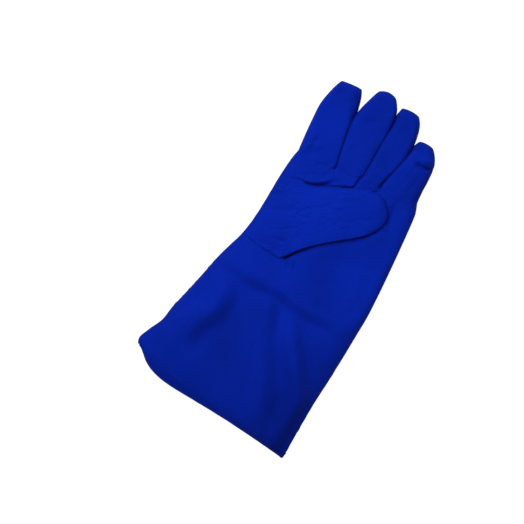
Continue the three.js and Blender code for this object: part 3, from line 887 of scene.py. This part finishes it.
def shellPiece(name, side):
    # The front or the back of the glove as one mesh: the hand's grid, whose last row the fingers' grids
    # share, without the faces where the thumb is sewn in.
    roots = zip(rootShares, rootShares[1:], fabricGrid["columns"].values())
    shares = np.concatenate([[0], *(mix(a, b, spread(count)[1:]) for a, b, count in roots)])[None]
    rows = np.concatenate([[0], np.cumsum(fabricGrid["handRows"])])
    downwards = np.interp(np.arange(rows[-1] + 1), rows, np.linspace(0, 1, len(rows)))[:, None]
    top, overlap = hemTop(shares), cuffHem["overlap"]
    places = mix(top - overlap, fingerRoots, downwards)
    hand = handPoints(side, places, shares)
    if side < 0:
        hand[..., 2] += cuffHem["underLift"] * (1 - smooth(1 + (places - top) / overlap))
    numbers = numbered(hand)
    handFlat = flatPlaces(hand)
    points, flats, faces = [hand.reshape(-1, 3)], [handFlat.reshape(-1, 2)], [gridFaces(numbers)]
    start, first = numbers.size, 0
    for finger, count in fabricGrid["columns"].items():
        grid = fingerPoints(side, finger)
        rows = grid.shape[0] - 1
        root = numbers[-1, first : first + count + 1]
        own = np.vstack([root, np.arange(start, start + rows * (count + 1)).reshape(rows, count + 1)])
        faces.append(gridFaces(own))
        points.append(grid[1:].reshape(-1, 3))
        flats.append(flatPlaces(grid, *handFlat[-1, first + (count + 1) // 2])[1:].reshape(-1, 2))
        start += rows * (count + 1)
        first += count
    points, faces = np.vstack(points), np.vstack(faces)
    if side > 0:
        centre = points[faces].mean(axis=1)
        x, y = centre[:, 0], centre[:, 1]
        cut = insideOf(x, y, thumbHole) & (holeOff(x, y) > thumbCloth["seamAllowance"])
        faces = faces[~cut]
        return meshFrom(name, points, faces, np.vstack(flats), paintedShadeAt(points))
    return meshFrom(name, points, faces[:, ::-1], np.vstack(flats))


def handHeight(x, y):
    # height of the hand's plain front over the table, near its left side seam
    rows = along(gauntletSections, np.linspace(*thumbCloth["heightRows"]))
    seamX, rise, edge = (np.interp(y, rows[:, 1], rows[:, k]) for k in (0, 4, 5))
    return seamLevel(y) + rise * edgeRise(x - seamX, edge)


def thumbHalf(places, shares, over):
    # The thumb's outer half, or the inner half that lies on the palm, on a grid. At its root the outer half
    # follows the hand's own front and swells a little over it; further on it stands as an arch on its
    # edges.
    read = along(thumbSections, places)[:, None]
    places, shares = places[:, None], shares[None]
    plan = tubePlan(read[..., [0, 1, 3, 4, 9]], shares, thumbCloth["straightFrom"])
    xy, width, sideOff, toTip, close, inward = plan
    sideSeam = along(gauntletSections, np.linspace(*thumbCloth["rootRows"]))[:, 0:2]
    seamY = mix(*thumbCloth["rootSpan"], shares)
    seam = np.stack([np.interp(seamY, sideSeam[:, 1], sideSeam[:, 0]), seamY], axis=2)
    xy = xy + (seam - xy[:1]) * (1 - smooth(places / thumbCloth["rootOver"]))[..., None]
    level = mix(read[..., 2], read[..., 5], shares)
    freeUpper, freeMiddle, freeLower = (ramp(places, limits) for limits in thumbCloth["free"])
    upperTurn, lowerTurn = (ramp(shares, limits) for limits in thumbCloth["freeTurns"])
    free = mix(mix(freeUpper, freeMiddle, upperTurn), freeLower, lowerTurn)
    if over:
        lap = (1 - freeUpper) * smooth(places / thumbCloth["lapRows"])
        xy[..., 1] += thumbCloth["laps"] * lap * bell(shares * width / thumbCloth["lapReach"])
        x, y = xy[..., 0], xy[..., 1]
        power = mix(*thumbCloth["swellPowers"], smooth(shares))
        flush = handHeight(x, y) + read[..., 8] * np.sin(np.pi * shares) ** power
        flush = flush - thumbCloth["lapSinks"] * lap * bell(shares * width / thumbCloth["sinkReach"])
        turns = (ramp(places, limits) for limits in thumbCloth["edgeTurns"])
        edges = (mix(*edge) for edge in zip(thumbCloth["rootEdges"], thumbCloth["edges"], turns))
        height = mix(flush - level, read[..., 6] * arch(shares, width, *edges) * close, free)
        fade = edgeRise(np.minimum(sideOff, toTip), thumbCloth["foldFade"])
        fade = fade * smooth(places / thumbCloth["foldRows"])
        height = height - foldDepth(x, y, thumbCloth["folds"]) * fade
        height = height + creaseHeight(x, y, thumbCloth["creases"], seeds["thumbCreases"]) * fade
        height = height + swells(x, y, thumbCloth["soft"], seeds["thumbSoft"]) * fade
        height = height + swells(x, y, relief["fine"], seeds["thumbFine"], count=relief["fineCount"]) * fade
        grooves = seamRelief(x, y, [frontSeams["thumbBottom"]], seeds["seams"])
        height = height + grooves * smooth(places / thumbCloth["seamRows"]) * (1 - freeLower)
        z = level + height
    else:
        x, y = xy[..., 0], xy[..., 1]
        height = -read[..., 7] * arch(shares, width, glove["underEdge"]) * close
        z = np.maximum(level + height, np.minimum(level, thumbCloth["restsAt"]))
    inward = mix(np.array([1.0, 0.0]), inward, free[..., None])
    pinch = pinchAt(x, y, mix(z - seamLevel(y), height, free))
    return np.stack([x + inward[..., 0] * pinch, y + inward[..., 1] * pinch, z], axis=2)


def thumbPiece():
    # the thumb as a tube whose first row is the hand's own side seam; the inner half starts further on
    places = (len(thumbSections) - 1) * spread(thumbCloth["rows"], thumbCloth["crowding"])
    top = thumbHalf(places, spread(thumbCloth["columns"]), True)
    under = thumbHalf(places, spread(thumbCloth["underColumns"]), False)
    under = under[:, 1:-1][:, ::-1]
    ring = np.concatenate([top, under], axis=1)
    numbers = numbered(ring)
    closed = np.concatenate([numbers[:, top.shape[1] - 1 :], numbers[:, :1]], axis=1)
    inner = gridFaces(closed[places >= thumbCloth["underFrom"]])
    faces = np.vstack([gridFaces(numbers[:, : top.shape[1]]), inner])
    points = ring.reshape(-1, 3)
    return meshFrom("thumb_cloth", points, faces, flatPlaces(ring).reshape(-1, 2), paintedShadeAt(points))


front = shellPiece("front_cloth", 1)
back = shellPiece("back_cloth", -1)
thumb = thumbPiece()
for piece in (front, back, thumb):
    thicken(piece, glove["cloth"])
print("cloth of the front, the back and the thumb made")


def mouthRings(places, over, under):
    # the cuff's surface as closed rings: over the front from left to right, and back along the underside
    top = handPoints(1, places[:, : len(over)], over[None])
    low = handPoints(-1, places[:, len(over) :], under[None])
    return np.concatenate([top, low], axis=1)


def outwards(rings):
    # unit direction out of a stack of closed rings: the cross product of its two grid directions
    aroundStep = np.roll(rings, -1, axis=1) - np.roll(rings, 1, axis=1)
    normal = np.cross(aroundStep, np.gradient(rings, axis=0))
    return normal / np.maximum(np.linalg.norm(normal, axis=2, keepdims=True), 1e-9)


def hemPiece():
    # The turned hem: down the outside of the cuff, round the mouth in a half circle, and up the inside.
    # Each row is the cuff's own ring moved out, or in, along its outward direction.
    over = spread(cuffHem["acrossColumns"], cuffHem["crowding"])
    under = spread(cuffHem["underColumns"], cuffHem["crowding"])[1:-1][::-1]
    top = hemTop(np.concatenate([over, under]))
    down = np.linspace(1, 0, cuffHem["outerRows"] + 1)[:, None]
    outer = mouthRings(down * top, over, under)
    up = np.linspace(0, 1, cuffHem["innerRows"] + 1)[:, None]
    inner = mouthRings(up * (top + cuffHem["innerReach"]), over, under)
    outNormal, inNormal = -outwards(outer), outwards(inner)
    bulge = cuffHem["bulge"] * np.sin(np.pi * (1 - down) ** cuffHem["bulgeLow"])[..., None]
    lip = edgeRise(1 - down, cuffHem["lipShare"])[..., None]
    outside = outer + outNormal * (mix(cuffHem["lip"], cuffHem["stands"], lip) + bulge)
    inside = inner + inNormal * (cuffHem["stands"] - cuffHem["thick"])
    mouth = unit(outer[-1] - outer[-2])
    turn = np.linspace(0, np.pi, cuffHem["noseRows"] + 1)[1:-1, None, None]
    middle, half = (outside[-1] + inside[0]) / 2, (outside[-1] - inside[0]) / 2
    nose = middle + half * np.cos(turn) + mouth * np.sin(turn) * cuffHem["thick"] / 2
    rings = np.concatenate([outside, nose, inside])
    rings[..., 2] = np.maximum(rings[..., 2], 0)  # the hem lies flat on the table
    numbers = numbered(rings)
    faces = gridFaces(np.concatenate([numbers, numbers[:, :1]], axis=1))[:, ::-1]
    points = rings.reshape(-1, 3)
    # painted shade on the hem, and the painted shade of the spots nearby
    shade = cuffHem["shade"] * ramp(points[:, 0], cuffHem["shadeFrom"]) + paintedShadeAt(points)
    piece = meshFrom("cuff_hem_cloth", points, faces, flatPlaces(rings).reshape(-1, 2), shade)
    return piece, outside, outNormal


stitching = {
    "length": 3.0,
    "gap": 1.1,
    "radius": 0.42,
    "fromEdge": 0.16,  # the row of stitches runs this share of the hem's width from its upper edge
    "above": 0.6,  # none are needed where the hem is pressed flat on the table
    "raised": 0.6,  # a stitch's middle stands up by this share of its radius
    "endSquare": 1.02,  # its section's radius is the root of this less the square of the place along it
    "rings": 6,
    "sides": 6,  # stitchPiece closes the ends for this many
    "headingStep": 0.8,  # its heading is read this far before and after it
}


def stitchPoints(middles, headings, ups, size=1.0):
    # Short threads lying on the cloth: a round section carried along each stitch, thin at both ends and
    # highest in the middle. One stitch for each row of middles, headings and ups.
    t = np.linspace(-1, 1, stitching["rings"])
    angle = np.linspace(0, 2 * np.pi, stitching["sides"] + 1)[:-1]
    thick = size * stitching["radius"] * np.sqrt(stitching["endSquare"] - t**2)
    raised = stitching["raised"] * size * stitching["radius"] * (1 - t**2)
    asides = np.cross(ups, headings)
    run = (t * size * stitching["length"] / 2)[:, None]
    line = middles[:, None] + headings[:, None] * run + ups[:, None] * raised[:, None]
    around = asides[:, None, None] * np.cos(angle)[:, None] + ups[:, None, None] * np.sin(angle)[:, None]
    return line[:, :, None] + around * thick[:, None, None]


def stitchPiece(name, points):
    # One mesh of all the stitches in an array of stitches by rings by points round. Two faces close each
    # end, by the numbers of the six points round it.
    numbers = numbered(points)
    faces = [gridFaces(np.concatenate([numbers, numbers[:, :, :1]], axis=2))]
    for end, picks in ((0, [3, 2, 1, 0]), (0, [0, 5, 4, 3]), (-1, [0, 1, 2, 3]), (-1, [3, 4, 5, 0])):
        faces.append(numbers[:, end][:, picks])
    points = points.reshape(-1, 3)
    return meshFrom(name, points, np.vstack(faces), points[:, :2])


def hemStitching(outside, normal):
    # stitches at even steps along a row beside the hem's upper edge, where it is clear of the table
    row = stitching["fromEdge"] * cuffHem["outerRows"]
    low = int(row)
    line = np.hstack([mix(outside[low], outside[low + 1], row - low), normal[low]])
    line = np.vstack([line, line[:1]])
    run = np.concatenate([[0], np.cumsum(np.linalg.norm(np.diff(line[:, :3], axis=0), axis=1))])
    count = int(run[-1] / (stitching["length"] + stitching["gap"]))
    places = np.linspace(0, run[-1], count + 1)[:-1]

    def read(at):
        return np.stack([np.interp(at % run[-1], run, column) for column in line.T], axis=1)

    middles, ups = np.split(read(places), 2, axis=1)
    step = stitching["headingStep"]
    headings = unit((read(places + step) - read(places - step))[:, :3])
    ups = unit(ups - headings * np.sum(ups * headings, axis=1, keepdims=True))
    shows = middles[:, 2] > stitching["above"]
    return stitchPiece("hem_stitches", stitchPoints(middles[shows], headings[shows], ups[shows]))


barTack = {
    "from": (11.6, -2.6),
    "to": (12.4, -9.6),
    "count": 9,
    "lean": 0.3,
    "size": 1.5,  # of its stitches, against the hem's
    "above": 0.1,  # over the cloth
}


def barTackPiece():
    # a bar of close stitches where the thumb's seam ends, each across the bar's own line
    t = np.linspace(0, 1, barTack["count"])[:, None]
    xy = mix(np.array(barTack["from"]), np.array(barTack["to"]), t)
    cloth = np.empty(len(front.data.vertices) * 3)
    front.data.vertices.foreach_get("co", cloth)
    cloth = cloth.reshape(-1, 3) * 1000 + np.array([*glove["outlineCentre"], 0.0])
    nearest = np.argmin(np.hypot(cloth[None, :, 0] - xy[:, :1], cloth[None, :, 1] - xy[:, 1:]), axis=1)
    middle = np.column_stack([xy, cloth[nearest, 2] + barTack["above"]])
    lean = np.where(np.arange(len(middle)) % 2, barTack["lean"], -barTack["lean"])
    heading = np.column_stack([np.cos(lean), np.sin(lean), np.zeros(len(middle))])
    up = np.tile([0.0, 0.0, 1.0], (len(middle), 1))
    return stitchPiece("thumb_bar_tack", stitchPoints(middle, heading, up, barTack["size"]))


hem, hemOutside, hemNormal = hemPiece()
hemStitches = hemStitching(hemOutside, hemNormal)
tack = barTackPiece()
print("hem and stitches made")

fabric = {
    "name": "dyed cotton twill",
    "blue": "#001a84",
    "light": "#001d8e",
    # the dark colour gives the nap's random tone and the painted shade
    "dark": "#001062",
    "thread": "#001f90",
    "twill": 1.1,  # spacing of the twill's ribs; real ones are 0.6 mm, too fine to show here
    "slant": 62,  # of these ribs, in degrees
    "yarn": 0.8,  # spacing of the yarns across them
    "ribScale": 0.314,  # scale of a Wave texture whose bands are 1 mm apart
    "patch": 46,  # size of the dye's slow unevenness
    "nap": 2.6,  # size of the brushed nap's tufts
    "sheen": "#3a5fe0",
    "napBump": 0.6,  # how much the nap stands up, against the weave
    # how much of the light or dark colour each pattern brings: its values from and to, the share at each
    "patchShare": (0.35, 0.65, 0.0, 0.8),
    "napShare": (0.3, 0.7, 0.0, 0.14),
    # painted shade in the weave's hollows, darker where the ribs dip
    "hollowShadeShare": (0.0, 0.6, 0.12, 0.0),
}


def linear(colour):
    # an sRGB hex colour as linear red, green, blue and alpha
    parts = np.array([int(colour[k : k + 2], 16) for k in (1, 3, 5)]) / 255
    parts = np.where(parts <= 0.04045, parts / 12.92, ((parts + 0.055) / 1.055) ** 2.4)
    return (*parts.tolist(), 1.0)


def setInputs(tree, node, inputs):
    # a node's inputs, each set to a value or linked to another node's output
    for socket, value in inputs.items():
        if isinstance(value, bpy.types.NodeSocket):
            tree.links.new(value, node.inputs[socket])
        else:
            node.inputs[socket].default_value = value


def addNode(tree, kind, output, inputs, **settings):
    # one shader node with its settings and inputs, given by the output that is asked for
    made = tree.nodes.new(kind)
    for name, value in settings.items():
        setattr(made, name, value)
    setInputs(tree, made, inputs)
    return made.outputs[output] if made.outputs else made


def cottonTwill(name, tint):
    # Matte dyed cotton in a twill weave, brushed: no gloss, a faint blue nap at grazing angles, fine
    # slanting ribs, and dye that is a little uneven. Painted shade darkens the weave's hollows, and more
    # painted shade comes from the mesh's shade attribute.
    made = bpy.data.materials.new(name)
    made.use_nodes = True
    tree = made.node_tree
    tree.nodes.clear()
    flat = addNode(tree, "ShaderNodeUVMap", "UV", {}, uv_map="weave")
    place = addNode(tree, "ShaderNodeTexCoord", "Object", {})
    slant = addNode(tree, "ShaderNodeMapping", "Vector", {
        "Vector": flat, "Rotation": (0, 0, math.radians(fabric["slant"])), "Scale": (clothUnit,) * 3,
    })
    rib = addNode(tree, "ShaderNodeTexWave", "Fac", {
        "Vector": slant, "Scale": fabric["ribScale"] / fabric["twill"],
        "Distortion": 0.6, "Detail": 1.0, "Detail Scale": 0.5,
    }, wave_type="BANDS", bands_direction="X")
    straight = addNode(tree, "ShaderNodeMapping", "Vector", {"Vector": flat, "Scale": (clothUnit,) * 3})
    yarn = addNode(tree, "ShaderNodeTexWave", "Fac", {
        "Vector": straight, "Scale": fabric["ribScale"] / fabric["yarn"],
        "Distortion": 0.8, "Detail": 1.0,
    }, wave_type="BANDS", bands_direction="Y")
    weave = addNode(tree, "ShaderNodeMath", "Value", {0: rib, 1: yarn}, operation="MULTIPLY")
    patch = addNode(tree, "ShaderNodeTexNoise", "Fac", {
        "Vector": place, "Scale": 1000 / fabric["patch"], "Detail": 3.0, "Roughness": 0.55,
    })
    nap = addNode(tree, "ShaderNodeTexNoise", "Fac", {
        "Vector": place, "Scale": 1000 / fabric["nap"], "Detail": 3.0, "Roughness": 0.6,
    })
    shade = addNode(tree, "ShaderNodeAttribute", "Fac", {}, attribute_name="shade")
    colour = linear(tint)
    # the dye's and the nap's uneven tone, then painted shade in the weave's hollows and from the shade
    # attribute
    for share, limits, other in (
            (patch, fabric["patchShare"], "light"), (nap, fabric["napShare"], "dark"),
            (weave, fabric["hollowShadeShare"], "dark"), (shade, None, "dark")):
        if limits:
            inputs = {"Value": share, **dict(enumerate(limits, start=1))}
            share = addNode(tree, "ShaderNodeMapRange", "Result", inputs)
        inputs = {0: share, 6: colour, 7: linear(fabric[other])}
        colour = addNode(tree, "ShaderNodeMix", 2, inputs, data_type="RGBA")
    inputs = {0: nap, 1: fabric["napBump"], 2: weave}
    bumps = addNode(tree, "ShaderNodeMath", "Value", inputs, operation="MULTIPLY_ADD")
    shader = addNode(tree, "ShaderNodeBsdfPrincipled", "BSDF", {
        "Base Color": colour,
        "Roughness": 0.9,
        "Specular IOR Level": 0.05,
        "Sheen Weight": 0.04,
        "Sheen Roughness": 0.5,
        "Sheen Tint": linear(fabric["sheen"]),
        "Normal": addNode(tree, "ShaderNodeBump", "Normal", {
            "Height": bumps, "Strength": 0.3, "Distance": 0.00018,
        }),
    })
    addNode(tree, "ShaderNodeOutputMaterial", None, {"Surface": shader})
    return made


cotton = cottonTwill(fabric["name"], fabric["blue"])
thread = cottonTwill("spun cotton thread", fabric["thread"])
for piece in (front, back, thumb, hem):
    piece.data.materials.append(cotton)
for piece in (hemStitches, tack):
    piece.data.materials.append(thread)

standsFor = {
    front: ["palm_and_gauntlet_front", "index_finger_front", "middle_finger_front", "ring_finger_front"],
    back: ["back"],
    thumb: ["thumb"],
    hem: ["cuff_hem"],
}
for piece in (front, back, thumb, hem, hemStitches, tack):
    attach(piece, "root")
for piece, nodes in standsFor.items():
    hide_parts(*nodes)
print("materials given, pieces set on the frame")

studio = {
    "floor": "#606060",  # frosted acrylic lit from below, so that it looks white with hardly a shadow
    "floorGlow": 0.95,
    "floorSize": 30.0,
    "turn": 24.0,  # the glove lies turned by this many degrees in the picture
    "aim": (-0.01935, -0.01825, 0.012),  # the middle of the picture
    "height": 3.0,
    "field": 0.524,  # width of the picture on the glove
    "world": 0.30,
    # square soft boxes: place, aim, size, power and spread in degrees; a grid narrows the key's
    "lamps": {
        "key": ((-0.42, 0.33, 0.9), (-0.015, 0.065, 0.0), 0.64, 2.7, 64),
        "fill": ((0.6, 0.5, 2.4), (0.0, 0.0, 0.0), 2.0, 5.0, 180),
    },
}


def makeStudio():
    # a large floor that glows, white light from all round, and the soft boxes, each facing its aim
    half = studio["floorSize"] / 2
    mesh = bpy.data.meshes.new("floor")
    corners = [(-half, -half, 0), (half, -half, 0), (half, half, 0), (-half, half, 0)]
    mesh.from_pydata(corners, [], [(0, 1, 2, 3)])
    floor = newObject("floor", mesh)
    white = (1, 1, 1, 1)
    acrylic, world = bpy.data.materials.new("frosted acrylic"), bpy.data.worlds.new("studio")
    acrylic.use_nodes = world.use_nodes = True
    setInputs(acrylic.node_tree, acrylic.node_tree.nodes["Principled BSDF"], {
        "Base Color": linear(studio["floor"]), "Roughness": 0.9,
        "Emission Color": white, "Emission Strength": studio["floorGlow"],
    })
    setInputs(world.node_tree, world.node_tree.nodes["Background"], {
        "Color": white, "Strength": studio["world"],
    })
    mesh.materials.append(acrylic)
    bpy.context.scene.world = world
    for name, (place, aim, size, power, spread) in studio["lamps"].items():
        data = bpy.data.lights.new(name, "AREA")
        data.size, data.energy, data.spread = size, power, math.radians(spread)
        lamp = newObject(name, data)
        lamp.location, lamp.rotation_mode = place, "QUATERNION"
        lamp.rotation_quaternion = (Vector(place) - Vector(aim)).to_track_quat("Z", "Y")


def makeCamera():
    # straight above the glove, with a long lens, turned as the glove lies in the photograph
    turn = math.radians(studio["turn"])
    data = bpy.data.cameras.new("camera")
    data.sensor_width = 36
    data.lens = data.sensor_width * (studio["height"] - studio["aim"][2]) / studio["field"]
    camera = newObject("camera", data)
    right = Vector((math.cos(turn), math.sin(turn), 0))
    up = Vector((-math.sin(turn), math.cos(turn), 0))
    place = Vector((studio["aim"][0], studio["aim"][1], studio["height"]))
    camera.matrix_world = Matrix.Translation(place) @ Matrix((right, up, (0, 0, 1))).transposed().to_4x4()
    bpy.context.scene.camera = camera


makeStudio()
makeCamera()
bpy.context.scene.view_settings.view_transform = "Standard"
print("studio and camera set")
